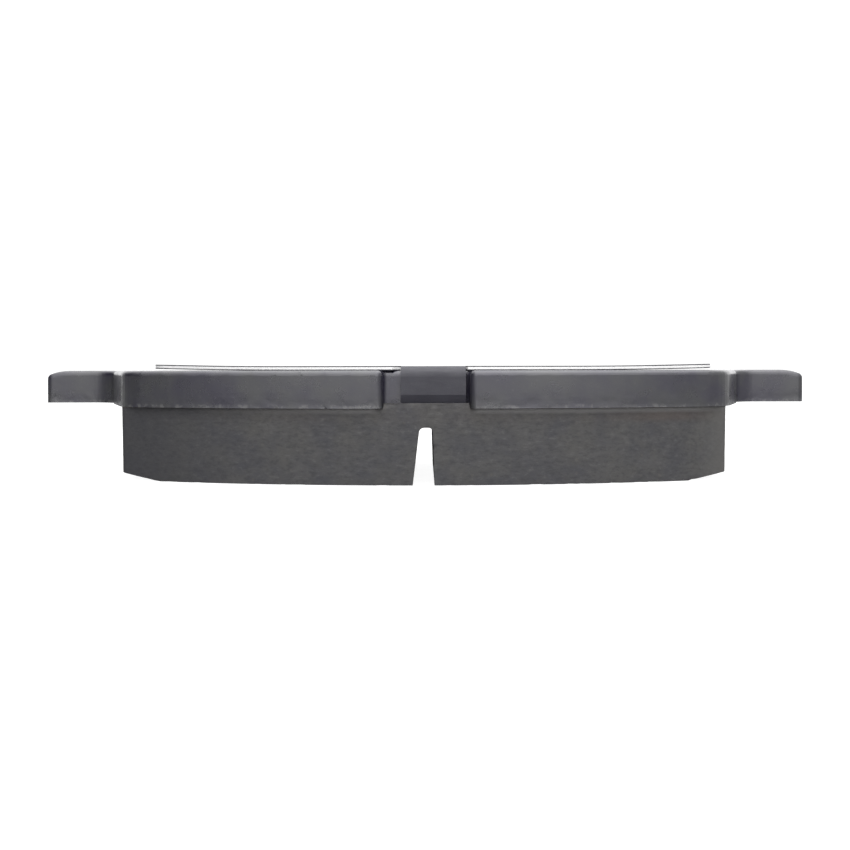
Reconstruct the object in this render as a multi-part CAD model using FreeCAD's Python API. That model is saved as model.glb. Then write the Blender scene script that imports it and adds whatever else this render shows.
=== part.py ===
"""Disc brake pad: a stamped steel backing plate, a moulded friction lining and a clip-on shim.

Frame: +X along the pad, +Y from the convex outer edge to the hub, +Z from the rotor face to the
caliper. The origin is the bottom centre of the pad's box. Sizes are in millimetres.

Depths in the plan are measured from the crown of the convex outer edge, towards the hub, and at()
turns them into the frame.
"""
import FreeCAD, Part
import math
import os

Vector = FreeCAD.Vector

# Backing plate
PLATE_HALF_LENGTH = 65.3
PLATE_DEPTH = 50.0
PLATE_THICKNESS = 5.5
OUTER_ARC_R = 134.5
FLANK_START = (46.9, 10.7)
FLANK_FLARE = math.radians(21)
NECK_X = 51.85
NECK_R = 3.5
EAR_NEAR = 29.5
EAR_FAR = 43.5
EAR_ROOT_R = 5.2
EAR_TIP_R = 1.2
SHOULDER_R = 7.0
FOOT_R = 3.0
FOOT_TOP = (52.0, EAR_FAR)
FOOT_OUTSIDE = (49.0, PLATE_DEPTH)
FOOT_INSIDE = (43.0, PLATE_DEPTH)
INNER_FLAT = (22.0, 44.5)
INNER_BLEND_R = 40.0
DIE_ROLL = 0.8
TIP_ROLL_RUN = 4.0
TIP_ROLL_R = 10.0

# Locating notch in the plate's outer edge
NOTCH_X = 0.2
NOTCH_HALF_WIDTH = 6.3
NOTCH_DEPTH = 2.0
NOTCH_MOUTH_R = 1.0
NOTCH_FLOOR_R = 0.7

# Moulding holes, which the lining's plugs fill
HOLE_R = 4.5
HOLE_X = 24.0
HOLE_DEEP = 24.0
PLUG_RECESS = 0.5

# Friction lining, from the rotor face up to the plate
LINING_HEIGHT = 11.15
FILM_THICKNESS = 0.1
UNDERLAYER_THICKNESS = 2.0
LINING_INSET = 0.85
LINING_OFFSET_X = -0.19
LINING_DRAFT = math.radians(1)
LINING_FLANK_START = (46.05, 9.1)
LINING_FLANK_FLARE = math.radians(10)
LINING_FLANK_END = 37.0
LINING_FOOT = (45.8, 46.8)
LINING_INNER_FLAT = (22.0, 42.5)
LINING_CORNER_R = 1.3
LINING_FOOT_R = 3.0
CHAMFER_START_X = 39.8
CHAMFER_SLOPE = math.radians(10.8)
FLASH_HEIGHT = 0.75

# Slot in the friction block, as its two sides at the rotor face and at its closed end
SLOT_MOUTH = (-1.79, 1.34)
SLOT_END = (-0.80, 1.10)
SLOT_DEPTH = 8.3
SLOT_END_R = 0.65

# Clip-on shim, in layers from the plate outwards
COAT_THICKNESS = 0.15
CORE_THICKNESS = 0.34
SHIM_OFFSET_X = 1.2
SHIM_HALF_LENGTH = 42.55
SHIM_INSET = 1.75
SHIM_INNER_EDGE = 43.0
SHIM_CORNER_R = 2.5
SHIM_FLAT_HALF = 20.0
SHIM_END_LIFT = 0.3
TAB_HALF_WIDTH = 4.73
TAB_REACH = 3.55
TAB_TIP_LENGTH = 1.15
TAB_TIP_SHARE = 0.4
TAB_BEND_R = 0.92
TAB_CLEARANCE = 0.15
RELIEF_LEFT = 1.3
RELIEF_RIGHT = 0.35
RELIEF_ROOT = 3.3
INNER_TAB_X = 14.0
INNER_TAB_HALF_WIDTH = 3.5

# Levels and places that follow from the sizes above
PLATE_BOTTOM = LINING_HEIGHT
PLATE_TOP = PLATE_BOTTOM + PLATE_THICKNESS
FILM_BOTTOM = PLATE_BOTTOM - FILM_THICKNESS
UNDERLAYER_BOTTOM = FILM_BOTTOM - UNDERLAYER_THICKNESS
NOTCH_MOUTH_X = NOTCH_HALF_WIDTH - NOTCH_X + NOTCH_MOUTH_R
NEAREST_DEPTH = OUTER_ARC_R - math.sqrt(OUTER_ARC_R**2 - NOTCH_MOUTH_X**2)
CROWN_Y = -(NEAREST_DEPTH + PLATE_DEPTH) / 2
HUB_Y = CROWN_Y + OUTER_ARC_R
BEYOND = 80.0


def at(x, depth, z=0.0):
    """Return the point at a length, a depth from the outer edge's crown, and a height."""
    return Vector(x, CROWN_Y + depth, z)


def prism(points, direction):
    """Return the solid swept by a closed polygon along a direction."""
    return Part.Face(Part.makePolygon(points + points[:1])).extrude(direction)


def mirrored_prism(half_outline, bottom, height):
    """Return the upright prism of a right-hand half outline of (x, depth) and its mirror image."""
    right = [at(x, depth, bottom) for x, depth in half_outline]
    left = [at(-x, depth, bottom) for x, depth in reversed(half_outline)]
    return prism(right + left, Vector(0, 0, height))


def inside_arc(solid, inset, bottom, height):
    """Return the part of a solid inside the outer edge's arc, which is moved in by the inset."""
    return solid.common(Part.makeCylinder(OUTER_ARC_R - inset, height, Vector(0, HUB_Y, bottom)))


def round_corners(solid, x, depth, radius, reach=1.5):
    """Round the upright edges that stand within reach of (x, depth) on either side."""
    corner = at(x, depth)
    upright = []
    for edge in solid.Edges:
        foot, head = edge.Vertexes[0].Point, edge.Vertexes[-1].Point
        stands = math.hypot(foot.x - head.x, foot.y - head.y) < 1e-6
        if stands and math.hypot(abs(foot.x) - corner.x, foot.y - corner.y) < reach:
            upright.append(edge)
    return solid.makeFillet(radius, upright)


def flank_x(start, flare, depth):
    """Return how far out a flank stands at a depth."""
    return start[0] + (depth - start[1]) * math.tan(flare)


def arc_corner(start, flare, inset):
    """Return the (x, depth) at which a flank meets the inset outer arc."""
    radius = OUTER_ARC_R - inset
    depth = start[1]
    for _ in range(20):
        x = flank_x(start, flare, depth)
        depth = OUTER_ARC_R - math.sqrt(radius**2 - x**2)
    return x, depth


def notch_space():
    """Return the space that the notch cuts out of the plate's outer edge."""
    sides = (NOTCH_X - NOTCH_HALF_WIDTH, NOTCH_X + NOTCH_HALF_WIDTH)
    outline = [at(sides[0], -5), at(sides[1], -5), at(sides[1], NOTCH_DEPTH), at(sides[0], NOTCH_DEPTH)]
    space = prism(outline, Vector(0, 0, PLATE_TOP + 5))
    return round_corners(space, NOTCH_HALF_WIDTH, NOTCH_DEPTH, NOTCH_FLOOR_R)


def moulding_holes(radius, bottom, height):
    """Return the two upright cylinders at the moulding holes."""
    left = Part.makeCylinder(radius, height, at(-HOLE_X, HOLE_DEEP, bottom))
    right = Part.makeCylinder(radius, height, at(HOLE_X, HOLE_DEEP, bottom))
    return left.fuse(right)


def tip_roll_space(side):
    """Return what the stamping rolls off the top of one ear's tip, above a gentle cylinder."""
    start = PLATE_HALF_LENGTH - TIP_ROLL_RUN
    above = Part.makeBox(BEYOND, PLATE_DEPTH, BEYOND, at(start, 0, PLATE_TOP - TIP_ROLL_R))
    roll = Part.makeCylinder(TIP_ROLL_R, PLATE_DEPTH, at(start, 0, PLATE_TOP - TIP_ROLL_R), Vector(0, 1, 0))
    space = above.cut(roll)
    if side < 0:
        space = space.mirror(Vector(0, 0, 0), Vector(1, 0, 0))
    return space


def upper_rim(blank):
    """Return the edges between the blank's sides and its top, along the ears' rolled tips too."""
    rim = []
    for face in blank.Faces:
        if face.normalAt(0, 0).z > 0.5:
            outline = face.OuterWire.Edges
            tip = PLATE_HALF_LENGTH - TIP_ROLL_RUN
            rim += [e for e in outline if abs(abs(e.CenterOfMass.x) - tip) > 1e-3]
    return rim


def backing_plate():
    """Stamped steel plate with two guide ears, a rolled upper rim, the notch and two holes."""
    neck = (NECK_X, FLANK_START[1] + (NECK_X - FLANK_START[0]) / math.tan(FLANK_FLARE))
    half_outline = [
        (flank_x(FLANK_START, FLANK_FLARE, -5), -5),
        neck,
        (NECK_X, EAR_NEAR),
        (PLATE_HALF_LENGTH, EAR_NEAR),
        (PLATE_HALF_LENGTH, EAR_FAR),
        FOOT_TOP,
        FOOT_OUTSIDE,
        FOOT_INSIDE,
        INNER_FLAT,
    ]
    blank = mirrored_prism(half_outline, PLATE_BOTTOM, PLATE_THICKNESS)
    blank = inside_arc(blank, 0, PLATE_BOTTOM, PLATE_THICKNESS)
    blank = blank.cut(notch_space())
    blank = round_corners(blank, NOTCH_HALF_WIDTH, 0, NOTCH_MOUTH_R)
    blank = round_corners(blank, *arc_corner(FLANK_START, FLANK_FLARE, 0), SHOULDER_R)
    blank = round_corners(blank, *neck, NECK_R)
    blank = round_corners(blank, NECK_X, EAR_NEAR, EAR_ROOT_R)
    blank = round_corners(blank, PLATE_HALF_LENGTH, EAR_NEAR, EAR_TIP_R)
    blank = round_corners(blank, PLATE_HALF_LENGTH, EAR_FAR, EAR_TIP_R)
    blank = round_corners(blank, *FOOT_TOP, FOOT_R)
    blank = round_corners(blank, *FOOT_OUTSIDE, FOOT_R)
    blank = round_corners(blank, *INNER_FLAT, INNER_BLEND_R)
    blank = blank.cut([tip_roll_space(-1), tip_roll_space(1)])
    plate = blank.makeFillet(DIE_ROLL, upper_rim(blank))
    return plate.cut(moulding_holes(HOLE_R, PLATE_BOTTOM, PLATE_THICKNESS))


def lining_outline():
    """Return the lining's outline at the plate, which stands in from the plate's edge all round."""
    half_outline = [
        (flank_x(LINING_FLANK_START, LINING_FLANK_FLARE, -5), -5),
        (flank_x(LINING_FLANK_START, LINING_FLANK_FLARE, LINING_FLANK_END), LINING_FLANK_END),
        LINING_FOOT,
        LINING_INNER_FLAT,
    ]
    slab = mirrored_prism(half_outline, LINING_HEIGHT, 1)
    slab = inside_arc(slab, LINING_INSET, LINING_HEIGHT, 1)
    corner = arc_corner(LINING_FLANK_START, LINING_FLANK_FLARE, LINING_INSET)
    slab = round_corners(slab, *corner, LINING_CORNER_R)
    slab = round_corners(slab, *half_outline[1], LINING_FOOT_R)
    slab = round_corners(slab, *LINING_FOOT, LINING_FOOT_R)
    slab = round_corners(slab, *LINING_INNER_FLAT, INNER_BLEND_R)
    return min(slab.Faces, key=lambda face: face.CenterOfMass.z).OuterWire


def lining_slice(bottom, height):
    """Return a slice of the lining, whose sides draw in towards the rotor face so it leaves its mould."""
    outlines = []
    for level in (bottom, bottom + height):
        drawn_in = (LINING_HEIGHT - level) * math.tan(LINING_DRAFT)
        outline = lining_outline()
        if drawn_in > 1e-6:
            outline = outline.makeOffset2D(-drawn_in)
        outline.translate(Vector(LINING_OFFSET_X, 0, level - LINING_HEIGHT))
        outlines.append(outline)
    return Part.makeLoft(outlines, True, True)


def adhesive_film():
    """Cured adhesive between the plate and the lining, open at the notch and at the holes."""
    film = lining_slice(FILM_BOTTOM, FILM_THICKNESS)
    return film.cut([notch_space(), moulding_holes(HOLE_R, FILM_BOTTOM, FILM_THICKNESS)])


def underlayer():
    """Tough lower-friction layer, moulded with a plug in each hole and a flash bead in the notch."""
    layer = lining_slice(UNDERLAYER_BOTTOM, UNDERLAYER_THICKNESS)
    plugs = moulding_holes(HOLE_R, FILM_BOTTOM, PLATE_TOP - PLUG_RECESS - FILM_BOTTOM)
    flash = lining_slice(FILM_BOTTOM, FILM_THICKNESS + FLASH_HEIGHT).common(notch_space())
    return layer.fuse([plugs, flash]).removeSplitter()


def slot_space():
    """Return the dust slot's space, across the block, wider at the rotor face than at its end."""
    start = CROWN_Y - 5
    outline = [
        Vector(SLOT_MOUTH[0], start, 0),
        Vector(SLOT_MOUTH[1], start, 0),
        Vector(SLOT_END[1], start, SLOT_DEPTH),
        Vector(SLOT_END[0], start, SLOT_DEPTH),
    ]
    space = prism(outline, Vector(0, PLATE_DEPTH + 10, 0))
    along = [e for e in space.Edges if abs(e.Length - PLATE_DEPTH - 10) < 1e-6]
    closed_end = [e for e in along if e.Vertexes[0].Point.z > SLOT_DEPTH / 2]
    return space.makeFillet(SLOT_END_R, closed_end)


def chamfer_space(side):
    """Return the wedge that the long shallow chamfer takes off one end of the rotor face."""
    start = side * CHAMFER_START_X + LINING_OFFSET_X
    end = side * BEYOND
    rise = abs(end - start) * math.tan(CHAMFER_SLOPE)
    outline = [at(start, -5), at(end, -5), at(end, -5, rise)]
    return prism(outline, Vector(0, PLATE_DEPTH + 10, 0))


def friction_block():
    """Friction material, slotted across the middle and chamfered at both ends."""
    block = lining_slice(0, UNDERLAYER_BOTTOM)
    return block.cut([slot_space(), chamfer_space(-1), chamfer_space(1)])


def bowed_point(x, lift):
    """Return the point of the shim that is a lift above its inside face, at a length x.

    The shim is flat in its middle and bows evenly away from the plate towards its ends.
    """
    run = max(abs(x) - SHIM_FLAT_HALF, 0)
    bow_r = (SHIM_HALF_LENGTH - SHIM_FLAT_HALF)**2 / (2 * SHIM_END_LIFT)
    turn = run / bow_r
    length = min(abs(x), SHIM_FLAT_HALF) + (bow_r - lift) * math.sin(turn)
    height = bow_r - (bow_r - lift) * math.cos(turn)
    return Vector(math.copysign(length, x), CROWN_Y - 5, PLATE_TOP + height)


def bowed_edges(lift):
    """Return the bowed line of the shim from its left end to its right, as three edges."""
    end = SHIM_HALF_LENGTH + 1
    middle = (end + SHIM_FLAT_HALF) / 2
    left = Part.Arc(*[bowed_point(x, lift) for x in (-end, -middle, -SHIM_FLAT_HALF)])
    flat = Part.LineSegment(bowed_point(-SHIM_FLAT_HALF, lift), bowed_point(SHIM_FLAT_HALF, lift))
    right = Part.Arc(*[bowed_point(x, lift) for x in (SHIM_FLAT_HALF, middle, end)])
    return [left.toShape(), flat.toShape(), right.toShape()]


def bowed_slab(low, high):
    """Return the bowed slab between two lifts, wider than the shim all round."""
    end = SHIM_HALF_LENGTH + 1
    sides = [Part.makeLine(bowed_point(x, low), bowed_point(x, high)) for x in (-end, end)]
    outline = Part.Wire(Part.__sortEdges__(bowed_edges(low) + bowed_edges(high) + sides))
    return Part.Face(outline).extrude(Vector(0, PLATE_DEPTH + 10, 0))


def shim_blank():
    """Return the upright prism of the shim's plan, with the outer tab's relief cut out."""
    half_outline = [(SHIM_HALF_LENGTH, -5), (SHIM_HALF_LENGTH, SHIM_INNER_EDGE)]
    blank = mirrored_prism(half_outline, PLATE_TOP, 2)
    blank = inside_arc(blank, SHIM_INSET, PLATE_TOP, 2)
    near_end = OUTER_ARC_R - math.sqrt((OUTER_ARC_R - SHIM_INSET)**2 - SHIM_HALF_LENGTH**2)
    blank = round_corners(blank, SHIM_HALF_LENGTH, near_end, SHIM_CORNER_R)
    blank = round_corners(blank, SHIM_HALF_LENGTH, SHIM_INNER_EDGE, SHIM_CORNER_R)
    left, right = -TAB_HALF_WIDTH - RELIEF_LEFT, TAB_HALF_WIDTH + RELIEF_RIGHT
    relief = [
        at(left, -5, PLATE_TOP),
        at(left, SHIM_INSET, PLATE_TOP),
        at(-TAB_HALF_WIDTH, RELIEF_ROOT, PLATE_TOP),
        at(TAB_HALF_WIDTH, RELIEF_ROOT, PLATE_TOP),
        at(right, SHIM_INSET, PLATE_TOP),
        at(right, -5, PLATE_TOP),
    ]
    return blank.cut(prism(relief, Vector(0, 0, 2)))


def folded_tab(low, high, x, half_width, face_depth, root_depth, has_tip):
    """Return one layer of a tab that folds down over the plate's edge.

    The tab's inside face stands at face_depth, and its sheet starts at root_depth on the shim.
    A tab with a tip goes on below its reach, pressed thinner from a crease downwards.
    """
    side = math.copysign(1, face_depth - root_depth)
    bend_depth = face_depth - side * TAB_BEND_R
    bend_z = PLATE_TOP - TAB_BEND_R
    end_z = PLATE_TOP - TAB_REACH
    left = x - half_width

    def bend(lift):
        """Return the start, middle and end of the fold at a lift from the inside face."""
        radius = TAB_BEND_R + lift
        points = []
        for turn in (0, math.pi / 4, math.pi / 2):
            depth = bend_depth + side * radius * math.sin(turn)
            points.append(at(left, depth, bend_z + radius * math.cos(turn)))
        return points

    def drop(lift):
        """Return the points down the tab's face at a lift, from below the fold to the end."""
        points = [at(left, face_depth + side * lift, end_z)]
        if has_tip:
            thinned = side * lift * TAB_TIP_SHARE
            points.append(at(left, face_depth + thinned, end_z - TAB_TIP_LENGTH))
        return points

    inner, outer = bend(low), bend(high)
    inner_root, outer_root = at(left, root_depth, inner[0].z), at(left, root_depth, outer[0].z)
    downwards = [inner[2]] + drop(low)
    upwards = list(reversed([outer[2]] + drop(high)))
    around = downwards + upwards
    edges = [Part.makeLine(inner_root, inner[0]), Part.Arc(*inner).toShape()]
    edges += [Part.makeLine(start, end) for start, end in zip(around, around[1:])]
    edges += [
        Part.Arc(*reversed(outer)).toShape(),
        Part.makeLine(outer[0], outer_root),
        Part.makeLine(outer_root, inner_root),
    ]
    return Part.Face(Part.Wire(edges)).extrude(Vector(2 * half_width, 0, 0))


def shim_layer(low, high):
    """Return one layer of the shim, between two distances from its inside face."""
    sheet = shim_blank().common(bowed_slab(low, high))
    outer_face = NOTCH_DEPTH - TAB_CLEARANCE
    inner_face = INNER_FLAT[1] + TAB_CLEARANCE
    tabs = [folded_tab(low, high, 0, TAB_HALF_WIDTH, outer_face, RELIEF_ROOT, True)]
    for x in (-INNER_TAB_X, INNER_TAB_X):
        tab = folded_tab(low, high, x, INNER_TAB_HALF_WIDTH, inner_face, SHIM_INNER_EDGE, False)
        tabs.append(tab)
    layer = sheet.fuse(tabs).removeSplitter()
    layer.translate(Vector(SHIM_OFFSET_X, 0, 0))
    return layer


def shim_inner_coat():
    """Rubber coat on the shim's plate side."""
    return shim_layer(0, COAT_THICKNESS)


def shim_core():
    """Spring steel sheet of the shim, with its locating tab and its two inner tabs."""
    return shim_layer(COAT_THICKNESS, COAT_THICKNESS + CORE_THICKNESS)


def shim_outer_coat():
    """Rubber coat on the shim's caliper side."""
    return shim_layer(COAT_THICKNESS + CORE_THICKNESS, 2 * COAT_THICKNESS + CORE_THICKNESS)


SUB_PARTS = (
    backing_plate,
    adhesive_film,
    underlayer,
    friction_block,
    shim_inner_coat,
    shim_core,
    shim_outer_coat,
)

os.makedirs("parts", exist_ok=True)
for make in SUB_PARTS:
    shape = make()
    box = shape.optimalBoundingBox(False)
    shape.exportStep(f"parts/{make.__name__}.step")
    print(f"{make.__name__}: {len(shape.Solids)} solid, valid {shape.isValid()}, {shape.Volume:.1f} mm3")
    print(f"    y {box.YMin:.2f} to {box.YMax:.2f}, z {box.ZMin:.2f} to {box.ZMax:.2f}")
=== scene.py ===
"""Disc brake pad on a pale studio floor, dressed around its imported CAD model. Lengths are in metres."""
import math
import bmesh
import bpy
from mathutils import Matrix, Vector, noise


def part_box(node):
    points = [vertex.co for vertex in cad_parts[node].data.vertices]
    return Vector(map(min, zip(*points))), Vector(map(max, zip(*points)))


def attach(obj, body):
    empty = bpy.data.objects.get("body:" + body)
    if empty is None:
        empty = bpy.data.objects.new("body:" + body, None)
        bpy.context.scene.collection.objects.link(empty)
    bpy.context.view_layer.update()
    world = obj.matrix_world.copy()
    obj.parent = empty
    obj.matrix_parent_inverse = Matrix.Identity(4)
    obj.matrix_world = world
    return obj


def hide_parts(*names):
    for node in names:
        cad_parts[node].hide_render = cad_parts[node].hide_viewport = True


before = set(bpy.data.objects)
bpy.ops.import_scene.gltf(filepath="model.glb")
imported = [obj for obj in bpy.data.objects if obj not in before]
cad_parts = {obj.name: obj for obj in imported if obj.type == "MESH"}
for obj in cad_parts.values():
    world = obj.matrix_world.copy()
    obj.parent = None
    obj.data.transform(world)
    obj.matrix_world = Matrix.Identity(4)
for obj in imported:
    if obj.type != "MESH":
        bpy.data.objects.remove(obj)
bpy.context.view_layer.update()

MM = 0.001
WHITE = (1.0, 1.0, 1.0, 1.0)

# Levels and sizes that the CAD nodes give
PLATE_LOW, PLATE_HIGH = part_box("backing_plate")
PLATE_THICKNESS = PLATE_HIGH.z - PLATE_LOW.z
FILM_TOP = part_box("adhesive_film")[1].z
UNDERLAYER_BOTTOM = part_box("underlayer")[0].z

# The convex outer edge: an arc about the hub, and the lining's arc inside it with its draft.
# The notch cuts away the arc's crown, which would stand a little outside the plate's box.
CROWN_PAST_BOX = 0.19 * MM
CROWN_Y = PLATE_LOW.y - CROWN_PAST_BOX
ARC_RADIUS = 134.5 * MM
HUB_Y = CROWN_Y + ARC_RADIUS
LINING_INSET = 0.85 * MM
LINING_OFFSET_X = -0.19 * MM
LINING_DRAFT = math.radians(1)
CHORD_HEIGHT = 0.02 * MM

# How finely the surfaces are divided along x, y and z, and what counts as level, joined or sharp
GRID = (0.60 * MM, 0.90 * MM, 0.45 * MM)
SAME_LEVEL = 1e-8
SAME_POINT = 1e-7
SHARP_TURN = math.radians(32)

# Relief of the plate's sheared side: a slow wave all over, and a torn zone along the lower edge.
# A relief has a depth, the size of its features, and mostly a level that its noise is lowered by.
PLATE_INSET = 0.01 * MM
WAVE_RELIEF, WAVE_SIZE = 0.012 * MM, 6 * MM
TORN_RELIEF, TORN_SIZE, TORN_LEVEL = 0.030 * MM, 0.9 * MM, 0.6
TORN_SHARE = 0.3
TORN_FADE = 0.4 * MM

# Relief of the lining: grain all over, chips along its sharp edges, and a lumpy bead of flash.
# The chips' noise is read some way off, so that it doesn't follow the grain's.
GRAIN_RELIEF, GRAIN_SIZE, GRAIN_LEVEL = 0.022 * MM, 1.1 * MM, 0.4
CHIP_RELIEF, CHIP_SIZE, CHIP_LEVEL = 0.16 * MM, 1.6 * MM, 0.1
CHIP_SHIFT = Vector((50 * MM, 0, 0))
CHIPS_BELOW = UNDERLAYER_BOTTOM - 0.1 * MM
FLASH_RELIEF, FLASH_SIZE, FLASH_LEVEL = 0.22 * MM, 1.2 * MM, 0.3
FLASH_ABOVE = FILM_TOP + 0.15 * MM

# Stretches of the lining along x over which its colour changes, the last one on both sides
# Painted shade on the lining's left end, over this stretch
PAINTED_SHADE_SPAN = (-46 * MM, -22 * MM)
BROWN_END = (22 * MM, 36 * MM)
# Painted light on the lining's right end, over this stretch
PAINTED_LIGHT_SPAN = (40 * MM, 45 * MM)
# Painted light under the plate, fading in over this stretch from the left
UNDER_PLATE_LIGHT_SPAN = (-42 * MM, 0.0)
NOTCH_SIDE = (6.5 * MM, 8 * MM)

# The floor: its size, how far it lies under the pad, and its own brightness to the camera
FLOOR_RADIUS = 6.0
FLOOR_DROP = 0.02 * MM
FLOOR_GLOW = 0.95

# Soft light round the pad: its strength each way, and the parts of a direction where it changes
LIGHT_FRONT = 2.44
LIGHT_LEFT, LEFT_SPAN = 0.02, (-0.90, -0.31)
LIGHT_RIGHT, RIGHT_SPAN = 0.80, (0.47, 0.78)
LIGHT_BEHIND, BEHIND_SPAN = 2.0, (0.45, 0.75)
LIGHT_OVERHEAD, OVERHEAD_SPAN = 0.35, (0.30, 0.90)
BACKDROP_LEVEL = 1.1

# The lamp overhead
SOFTBOX_PLACE = (0.05, -0.10, 0.60)
SOFTBOX_SIDE = 0.60
SOFTBOX_WATTS = 1.2

# Camera: just above the level of the plate's back, looking straight at the outer edge's middle
CAMERA_DISTANCE = 148 * MM
CAMERA_LENS = 43.68
CAMERA_SENSOR = 36.0
CAMERA_RISE = 0.2 * MM
CAMERA_SHIFT = -0.0659
CAMERA_ROLL = math.radians(0.09)
CAMERA_CLIP = (0.005, 20.0)


# ---------------------------------------------------------------- dense meshes from the CAD solids

def reaches_past(part, axis, level):
    """Return whether a vertex, edge or face has anything beyond a level."""
    if isinstance(part, bmesh.types.BMVert):
        return part.co[axis] > level + SAME_LEVEL
    return any(vertex.co[axis] > level + SAME_LEVEL for vertex in part.verts)


def cut_across(bm, axis, cell):
    """Cut every face of a mesh by evenly spaced planes across one axis."""
    normal = Vector((0, 0, 0))
    normal[axis] = 1
    places = [vertex.co[axis] for vertex in bm.verts]
    ahead = bm.verts[:] + bm.edges[:] + bm.faces[:]
    for step in range(math.ceil(min(places) / cell), math.floor(max(places) / cell) + 1):
        level = step * cell
        cut = bmesh.ops.bisect_plane(
            bm, geom=ahead, dist=SAME_LEVEL, plane_co=normal * level, plane_no=normal,
        )
        ahead = [part for part in cut["geom"] if reaches_past(part, axis, level)]


def plate_radius(height):
    """Return the outer arc's radius on the plate's upright side, which is the same at every height."""
    return ARC_RADIUS


def lining_radius(height):
    """Return the outer arc's radius on the lining's drafted side, at a height."""
    return ARC_RADIUS - LINING_INSET - (PLATE_LOW.z - height) * math.tan(LINING_DRAFT)


def round_out(bm, hub_x, radius_at):
    """Move the vertices that lie on chords of the outer arc out to the arc itself."""
    for vertex in bm.verts:
        across, along = vertex.co.x - hub_x, vertex.co.y - HUB_Y
        radius = math.hypot(across, along)
        short = radius_at(vertex.co.z) - radius
        if 0 < short < CHORD_HEIGHT:
            vertex.co.x += across / radius * short
            vertex.co.y += along / radius * short


def divided(node, hub_x, radius_at):
    """Return a bmesh of a CAD node's surface, in small cells that keep its edges exactly."""
    bm = bmesh.new()
    bm.from_mesh(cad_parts[node].data)
    bmesh.ops.remove_doubles(bm, verts=bm.verts, dist=SAME_POINT)
    for axis, cell in enumerate(GRID):
        cut_across(bm, axis, cell)
    round_out(bm, hub_x, radius_at)
    bm.normal_update()
    return bm


def turns_sharply(edge):
    """Return whether the surface has a sharp edge here."""
    return len(edge.link_faces) == 2 and edge.calc_face_angle() > SHARP_TURN


def relieved(bm, name, shift_at):
    """Move each vertex by what shift_at(vertex, on_edge) gives, and return the shaded mesh."""
    for edge in bm.edges:
        edge.smooth = not turns_sharply(edge)
    shifts = []
    for vertex in bm.verts:
        on_edge = any(not edge.smooth for edge in vertex.link_edges)
        shifts.append(shift_at(vertex, on_edge))
    for vertex, shift in zip(bm.verts, shifts):
        vertex.co += shift
    for face in bm.faces:
        face.smooth = True
    mesh = bpy.data.meshes.new(name)
    bm.to_mesh(mesh)
    bm.free()
    return mesh


def waves(point, size, octaves=3):
    """Return smooth noise between about -1 and 1, whose features are of a given size."""
    return noise.fractal(point / size, 1.0, 2.0, octaves)


def outward(vertex):
    """Return a vertex's normal without its upright part."""
    return Vector((vertex.normal.x, vertex.normal.y, 0))


# ---------------------------------------------------------------- node trees

class Nodes:
    """Adds nodes to a node tree. Its methods take sockets or plain values, and most return a socket."""

    def __init__(self, tree):
        self.tree = tree

    def feed(self, socket, value):
        """Link a socket, or set its value."""
        if isinstance(value, bpy.types.NodeSocket):
            self.tree.links.new(value, socket)
        else:
            socket.default_value = value

    def add(self, kind, inputs=None, **settings):
        """Add and return a node, with each input set to a value or linked to a socket."""
        node = self.tree.nodes.new(kind)
        for key, value in settings.items():
            setattr(node, key, value)
        for key, value in (inputs or {}).items():
            self.feed(node.inputs[key], value)
        return node

    def math(self, operation, a, b=0.0):
        """Return the result of an operation on two values."""
        return self.add("ShaderNodeMath", {0: a, 1: b}, operation=operation).outputs[0]

    def total(self, value, *others):
        """Return the total of several values."""
        for other in others:
            value = self.math("ADD", value, other)
        return value

    def product(self, value, *others):
        """Return the product of several values."""
        for other in others:
            value = self.math("MULTIPLY", value, other)
        return value

    def ramp(self, value, low, high, to_low=0.0, to_high=1.0):
        """Return a value mapped from one range to another, and held at its ends."""
        inputs = {"Value": value, "From Min": low, "From Max": high, "To Min": to_low, "To Max": to_high}
        return self.add("ShaderNodeMapRange", inputs, interpolation_type="SMOOTHSTEP").outputs["Result"]

    def part(self, vector, axis):
        """Return one part of a vector."""
        return self.add("ShaderNodeSeparateXYZ", {"Vector": vector}).outputs[axis]

    def seen_directly(self):
        """Return 1 for what is looked at directly, and 0 for what only lights the pad or reflects in it."""
        return self.add("ShaderNodeLightPath").outputs["Is Camera Ray"]


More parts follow.
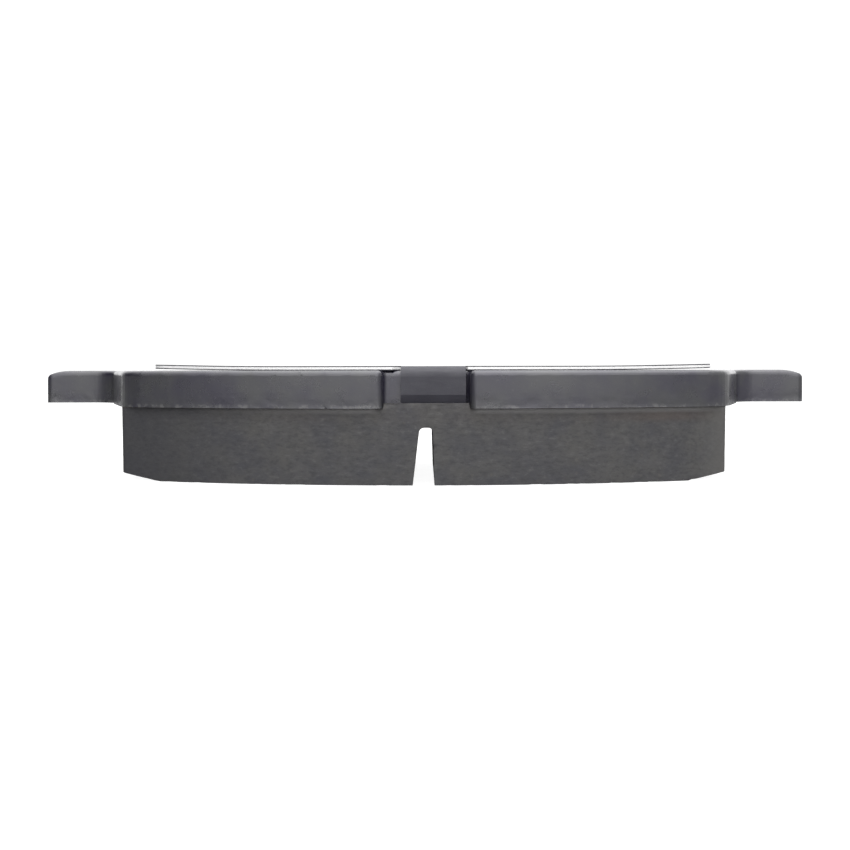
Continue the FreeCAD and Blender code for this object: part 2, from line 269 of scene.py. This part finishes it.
class MaterialNodes(Nodes):
    """Builds the nodes of one new material."""

    def __init__(self, name):
        self.material = bpy.data.materials.new(name)
        self.material.use_nodes = True
        super().__init__(self.material.node_tree)
        self.shader = self.tree.nodes["Principled BSDF"]
        self.place = self.add("ShaderNodeTexCoord").outputs["Object"]
        self.normal = self.add("ShaderNodeNewGeometry").outputs["Normal"]

    def stretched(self, x, y, z):
        """Return the place, scaled along each axis."""
        return self.add("ShaderNodeMapping", {"Vector": self.place, "Scale": (x, y, z)}).outputs[0]

    def noise(self, size, detail=3.0, roughness=0.55, place=None):
        """Return noise from 0 to 1 whose features are of a given size."""
        inputs = {
            "Vector": place or self.place, "Scale": 1 / size, "Detail": detail, "Roughness": roughness,
        }
        return self.add("ShaderNodeTexNoise", inputs).outputs["Fac"]

    def cells(self, size):
        """Return the distance to the nearest of scattered points, and a random colour for each."""
        node = self.add("ShaderNodeTexVoronoi", {"Vector": self.place, "Scale": 1 / size})
        return node.outputs["Distance"], node.outputs["Color"]

    def mix(self, share, a, b):
        """Return a colour between two others."""
        node = self.add("ShaderNodeMix", data_type="RGBA")
        sockets = {socket.identifier: socket for socket in node.inputs}
        self.feed(sockets["Factor_Float"], share)
        self.feed(sockets["A_Color"], a)
        self.feed(sockets["B_Color"], b)
        return [socket for socket in node.outputs if socket.type == "RGBA"][0]

    def bump(self, height, depth):
        """Return a normal bent by a height from 0 to 1, which stands for a depth in metres."""
        inputs = {"Height": height, "Distance": depth, "Strength": 1.0}
        return self.add("ShaderNodeBump", inputs).outputs["Normal"]

    def finish(self, colour, roughness, normal, others=None):
        """Feed the shader, with other inputs by their titles, and return the material."""
        inputs = {"Base Color": colour, "Roughness": roughness, "Normal": normal, **(others or {})}
        for title, value in inputs.items():
            self.feed(self.shader.inputs[title], value)
        return self.material


# ---------------------------------------------------------------- materials

def grey(level, red=0.0, blue=0.0):
    """Return a grey colour with a share more, or less, of red and blue."""
    return (level * (1 + red), level, level * (1 + blue), 1.0)


# Colours, as the share of light that each reflects
COAT_BLUE_BLACK = grey(0.012, 0.10, 0.90)
COAT_DARK_GREY = grey(0.028, -0.03, 0.02)
COAT_SPECK = grey(0.045, 0.03)
# Paler grey for patches along the plate's lowest rim
COAT_PALE_RIM = grey(0.085)
COAT_GLOSS = {"Specular IOR Level": 0.95, "Specular Tint": (0.97, 0.96, 1.0, 1.0)}
MATRIX_COOL = grey(0.040, 0.0, 0.16)
MATRIX_WARM = grey(0.055, 0.03, -0.03)
SMEAR_GREY = grey(0.062, 0.02, 0.02)
GRAIN_DARK = grey(0.030, 0.0, 0.12)
GRAIN_PALE = grey(0.086, 0.02, 0.0)
FLECK_BROWN = (0.085, 0.076, 0.066, 1.0)
ROOT_BROWN = (0.074, 0.057, 0.050, 1.0)
# Painted light for the band under the plate's overhang
UNDER_PLATE_LIGHT_GREY = grey(0.16, 0.02, 0.0)
# Painted shade for the lining's left end
PAINTED_SHADE_GREY = grey(0.022, 0.0, 0.20)
# Painted light for the lining's right end
PAINTED_LIGHT_GREY = grey(0.074, 0.03, -0.04)
RESIN_BLACK = (0.020, 0.016, 0.014, 1.0)
RESIN_BROWN = (0.045, 0.036, 0.030, 1.0)
RUBBER_BLACK = grey(0.022, 0.04, 0.44)
RUBBER_SLATE = grey(0.031, 0.03, 0.34)
RUBBER_DUST = grey(0.05)
STEEL_DULL = grey(0.78)
STEEL_BRIGHT = grey(0.90)
FLOOR_DARKER = grey(0.17)
FLOOR_PALER = grey(0.18)


def coated_steel():
    """Dark satin coat on stamped steel: faint upright marks, specked, and paler in patches along its lowest
    rim.
    """
    n = MaterialNodes("coated_steel")
    height = n.part(n.place, "Z")

    # Colour: blue-black patches, pale specks, and a paler grey in patches along the lowest rim
    patches = n.noise(6 * MM, 4)
    specks = n.noise(0.5 * MM, 2)
    colour = n.mix(n.ramp(patches, 0.3, 0.7), COAT_BLUE_BLACK, COAT_DARK_GREY)
    colour = n.mix(n.ramp(specks, 0.62, 0.75, 0.0, 0.4), colour, COAT_SPECK)
    rim = n.ramp(height, PLATE_LOW.z + 0.3 * MM, PLATE_LOW.z + 0.7 * MM, 1.0, 0.0)
    rub_marks_and_pale_rim = n.product(rim, n.ramp(n.noise(1.1 * MM, 4, 0.7), 0.50, 0.62), 0.7)
    colour = n.mix(rub_marks_and_pale_rim, colour, COAT_PALE_RIM)

    # Relief: upright marks and a torn zone on the side, and the coat's peel all over
    side = n.ramp(n.math("ABSOLUTE", n.part(n.normal, "Z")), 0.3, 0.8, 1.0, 0.0)
    torn = n.ramp(height, PLATE_LOW.z + 1.2 * MM, PLATE_LOW.z + 2.0 * MM, 1.0, 0.0)
    marks = n.noise(0.5 * MM, 3, place=n.stretched(1, 1, 0.06))
    upright = n.product(marks, side, 0.5)
    tearing = n.product(n.noise(0.7 * MM, 5, 0.65), torn, side)
    peel = n.product(n.noise(0.22 * MM, 2), 0.35)
    relief = n.total(upright, tearing, peel)
    roughness = n.ramp(n.noise(4 * MM, 5, 0.6), 0.3, 0.7, 0.25, 0.36)
    return n.finish(colour, roughness, n.bump(relief, 0.014 * MM), COAT_GLOSS)


def lining_compound():
    """Moulded friction compound: dark matrix, lighter and darker grains, brown-tinged at its root."""
    n = MaterialNodes("lining_compound")
    length = n.part(n.place, "X")
    height = n.part(n.place, "Z")

    # Colour all over: clouds, smears, dark and pale grains, and brown flecks
    cloud = n.noise(5 * MM, 5, 0.6)
    colour = n.mix(n.ramp(cloud, 0.3, 0.7), MATRIX_COOL, MATRIX_WARM)
    smears = n.noise(1.2 * MM, 4, 0.65, place=n.stretched(0.35, 1, 1))
    colour = n.mix(n.ramp(smears, 0.45, 0.65, 0.0, 0.5), colour, SMEAR_GREY)
    grain = n.noise(0.5 * MM, 4, 0.7, place=n.stretched(0.45, 1, 1))
    colour = n.mix(n.ramp(grain, 0.36, 0.50, 0.5, 0.0), colour, GRAIN_DARK)
    colour = n.mix(n.ramp(grain, 0.56, 0.70, 0.0, 0.45), colour, GRAIN_PALE)
    near, tint = n.cells(1.4 * MM)
    fleck = n.product(n.ramp(near, 0.10, 0.22, 1.0, 0.0), n.ramp(n.part(tint, "X"), 0.80, 0.84), 0.25)
    colour = n.mix(fleck, colour, FLECK_BROWN)

    # Colour by place: the brown root, a pale band of painted light just under the plate, painted shade at
    # the left end and painted light at the right one
    root = n.ramp(height, UNDERLAYER_BOTTOM - 0.5 * MM, UNDERLAYER_BOTTOM + 0.6 * MM)
    patchy = n.ramp(n.noise(12 * MM, 4), 0.36, 0.64, 0.20, 0.55)
    browned = n.product(root, patchy, n.ramp(length, *BROWN_END, 0.25, 1.0))
    colour = n.mix(browned, colour, ROOT_BROWN)
    # Painted light: a pale band just under the plate, where its overhang shades the lining, fading out to
    # the left and held off beside the notch
    upper = n.ramp(height, PLATE_LOW.z - 1.0 * MM, PLATE_LOW.z - 0.3 * MM)
    beside_notch = n.ramp(n.math("ABSOLUTE", length), *NOTCH_SIDE)
    under_plate_light = n.product(upper, n.ramp(length, *UNDER_PLATE_LIGHT_SPAN, 0.0, 0.9), beside_notch)
    colour = n.mix(under_plate_light, colour, UNDER_PLATE_LIGHT_GREY)
    # Painted shade: the lining's left end is darkened
    colour = n.mix(n.ramp(length, *PAINTED_SHADE_SPAN, 0.75, 0.0), colour, PAINTED_SHADE_GREY)
    # Painted light: the lining's right end is lightened
    colour = n.mix(n.ramp(length, *PAINTED_LIGHT_SPAN, 0.0, 0.8), colour, PAINTED_LIGHT_GREY)

    # Relief: pits all over, and grinding lines on the face that the rotor rubs
    pits = n.total(n.product(grain, 0.6), n.noise(1.3 * MM, 3))
    ground = n.ramp(n.part(n.normal, "Z"), -0.95, -0.8, 1.0, 0.0)
    lines = n.noise(0.25 * MM, 2, place=n.stretched(0.03, 1, 1))
    relief = n.total(pits, n.product(lines, ground))
    roughness = n.ramp(grain, 0.3, 0.7, 0.72, 0.58)
    return n.finish(colour, roughness, n.bump(relief, 0.03 * MM))


def cured_adhesive():
    """Thin dark resin line between plate and lining."""
    n = MaterialNodes("cured_adhesive")
    colour = n.mix(n.noise(1.5 * MM, 3), RESIN_BLACK, RESIN_BROWN)
    roughness = n.ramp(n.noise(1 * MM), 0.3, 0.7, 0.45, 0.65)
    return n.finish(colour, roughness, n.bump(n.noise(0.3 * MM), 0.02 * MM))


def shim_rubber():
    """Thin dark rubber coat, faintly rubbed and dusty."""
    n = MaterialNodes("shim_rubber")
    patches = n.ramp(n.noise(4 * MM, 4), 0.3, 0.7)
    dust = n.ramp(n.noise(0.35 * MM, 2), 0.6, 0.75, 0.0, 0.4)
    colour = n.mix(dust, n.mix(patches, RUBBER_BLACK, RUBBER_SLATE), RUBBER_DUST)
    rub_marks_and_pale_rim = n.noise(0.4 * MM, 3, place=n.stretched(0.15, 1, 1))
    relief = n.total(n.noise(0.18 * MM, 2), n.product(rub_marks_and_pale_rim, 0.5))
    return n.finish(colour, n.ramp(rub_marks_and_pale_rim, 0.3, 0.7, 0.42, 0.58), n.bump(relief, 0.012 * MM))


def sheared_steel():
    """Bright cut edge of the shim's steel sheet, with fine shear marks across its thickness."""
    n = MaterialNodes("sheared_steel")
    marks = n.noise(0.3 * MM, 3, place=n.stretched(1, 1, 0.1))
    colour = n.mix(marks, STEEL_DULL, STEEL_BRIGHT)
    roughness = n.ramp(marks, 0.3, 0.7, 0.45, 0.60)
    return n.finish(colour, roughness, n.bump(marks, 0.01 * MM), {"Metallic": 0.35})


# ---------------------------------------------------------------- pieces

def add_piece(name, mesh, material, body, slot, *replaced):
    """Add a piece that stands for CAD nodes and rides on their body."""
    piece = bpy.data.objects.new(name, mesh)
    bpy.context.scene.collection.objects.link(piece)
    mesh.materials.clear()
    mesh.materials.append(material)
    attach(piece, body)
    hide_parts(*replaced)


def make_plate():
    """The backing plate, with a slightly uneven sheared side and a torn zone along its lower edge."""
    torn_top = PLATE_LOW.z + TORN_SHARE * PLATE_THICKNESS

    def shift_at(vertex, on_edge):
        place = vertex.co
        torn = min(max((torn_top - place.z) / TORN_FADE, 0), 1)
        wave = WAVE_RELIEF * waves(place, WAVE_SIZE, 2)
        tearing = TORN_RELIEF * (waves(place, TORN_SIZE) - TORN_LEVEL) * torn
        return outward(vertex) * (wave + tearing - PLATE_INSET)

    mesh = relieved(divided("backing_plate", 0, plate_radius), "plate_steel", shift_at)
    add_piece("plate_steel", mesh, coated_steel(), "pad", "coated_steel", "backing_plate")


def make_lining():
    """The lining's two layers, with grain, chipped edges and a lumpy flash."""
    def shift_at(vertex, on_edge):
        place = vertex.co
        if place.z > FLASH_ABOVE:
            return outward(vertex) * FLASH_RELIEF * (waves(place, FLASH_SIZE) - FLASH_LEVEL)
        shift = outward(vertex) * (GRAIN_RELIEF * (waves(place, GRAIN_SIZE) - GRAIN_LEVEL))
        if on_edge and place.z < CHIPS_BELOW:
            chip = max(waves(place + CHIP_SHIFT, CHIP_SIZE) - CHIP_LEVEL, 0)
            shift -= vertex.normal * (CHIP_RELIEF * chip)
        return shift

    compound = lining_compound()
    layers = (
        ("friction_compound", "friction_material", "friction_block"),
        ("underlayer_compound", "underlayer", "underlayer"),
    )
    for name, slot, node in layers:
        mesh = relieved(divided(node, LINING_OFFSET_X, lining_radius), name, shift_at)
        add_piece(name, mesh, compound, "pad", slot, node)


def dress_cad_nodes():
    """Give the CAD nodes that stay their materials."""
    rubber = shim_rubber()
    finishes = {
        "adhesive_film": cured_adhesive(),
        "shim_core": sheared_steel(),
        "shim_inner_coat": rubber,
        "shim_outer_coat": rubber,
    }
    for node, material in finishes.items():
        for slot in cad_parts[node].material_slots:
            slot.material = material


# ---------------------------------------------------------------- studio

def make_floor():
    """A wide, plain, pale floor under the pad, lit from within so that it stays near white."""
    mesh = bpy.data.meshes.new("studio_floor")
    bm = bmesh.new()
    bmesh.ops.create_circle(bm, cap_ends=True, segments=96, radius=FLOOR_RADIUS)
    bm.to_mesh(mesh)
    bm.free()
    n = MaterialNodes("studio_floor")
    colour = n.mix(n.noise(0.4, 2), FLOOR_DARKER, FLOOR_PALER)
    glow = {"Emission Color": WHITE, "Emission Strength": n.product(n.seen_directly(), FLOOR_GLOW)}
    mesh.materials.append(n.finish(colour, 0.9, n.normal, glow))
    floor = bpy.data.objects.new("studio_floor", mesh)
    floor.location.z = -FLOOR_DROP
    bpy.context.scene.collection.objects.link(floor)


def make_world():
    """Soft light that is strongest in front and behind, weaker at the right, nearly out at the left."""
    world = bpy.data.worlds.new("studio")
    world.use_nodes = True
    world.node_tree.nodes.clear()
    n = Nodes(world.node_tree)
    around = n.add("ShaderNodeTexCoord").outputs["Generated"]
    across, along, up = (n.part(around, axis) for axis in "XYZ")
    left = n.ramp(across, *LEFT_SPAN, LIGHT_LEFT, LIGHT_FRONT)
    right = n.ramp(across, *RIGHT_SPAN, 1.0, LIGHT_RIGHT / LIGHT_FRONT)
    behind = n.ramp(along, *BEHIND_SPAN)
    in_front = n.product(left, right, n.math("SUBTRACT", 1.0, behind))
    overhead = n.ramp(up, *OVERHEAD_SPAN, 0.0, LIGHT_OVERHEAD)
    level = n.total(in_front, n.product(behind, LIGHT_BEHIND), overhead)
    lit = n.add("ShaderNodeBackground", {"Color": WHITE, "Strength": level})
    seen = n.add("ShaderNodeBackground", {"Color": WHITE, "Strength": BACKDROP_LEVEL})
    choice = n.add("ShaderNodeMixShader", {0: n.seen_directly(), 1: lit.outputs[0], 2: seen.outputs[0]})
    n.add("ShaderNodeOutputWorld", {"Surface": choice.outputs[0]})
    bpy.context.scene.world = world


def make_softbox():
    """One large soft lamp overhead, facing the pad."""
    light = bpy.data.lights.new("top_softbox", "AREA")
    light.shape = "SQUARE"
    light.size = SOFTBOX_SIDE
    light.energy = SOFTBOX_WATTS
    lamp = bpy.data.objects.new("top_softbox", light)
    lamp.location = SOFTBOX_PLACE
    facing = Vector((0, 0, PLATE_LOW.z)) - Vector(SOFTBOX_PLACE)
    lamp.rotation_euler = facing.to_track_quat("-Z", "Y").to_euler()
    bpy.context.scene.collection.objects.link(lamp)


def make_camera():
    """The camera, level with the plate's back and centred on the pad."""
    data = bpy.data.cameras.new("camera")
    data.sensor_width = CAMERA_SENSOR
    data.lens = CAMERA_LENS
    data.shift_y = CAMERA_SHIFT
    data.clip_start, data.clip_end = CAMERA_CLIP
    camera = bpy.data.objects.new("camera", data)
    camera.location = (0, CROWN_Y - CAMERA_DISTANCE, PLATE_HIGH.z + CAMERA_RISE)
    camera.rotation_euler = (math.radians(90), CAMERA_ROLL, 0)
    bpy.context.scene.collection.objects.link(camera)
    bpy.context.scene.camera = camera


make_camera()
make_plate()
make_lining()
dress_cad_nodes()
make_floor()
make_world()
make_softbox()
bpy.context.scene.view_settings.view_transform = "Standard"

bpy.context.view_layer.update()
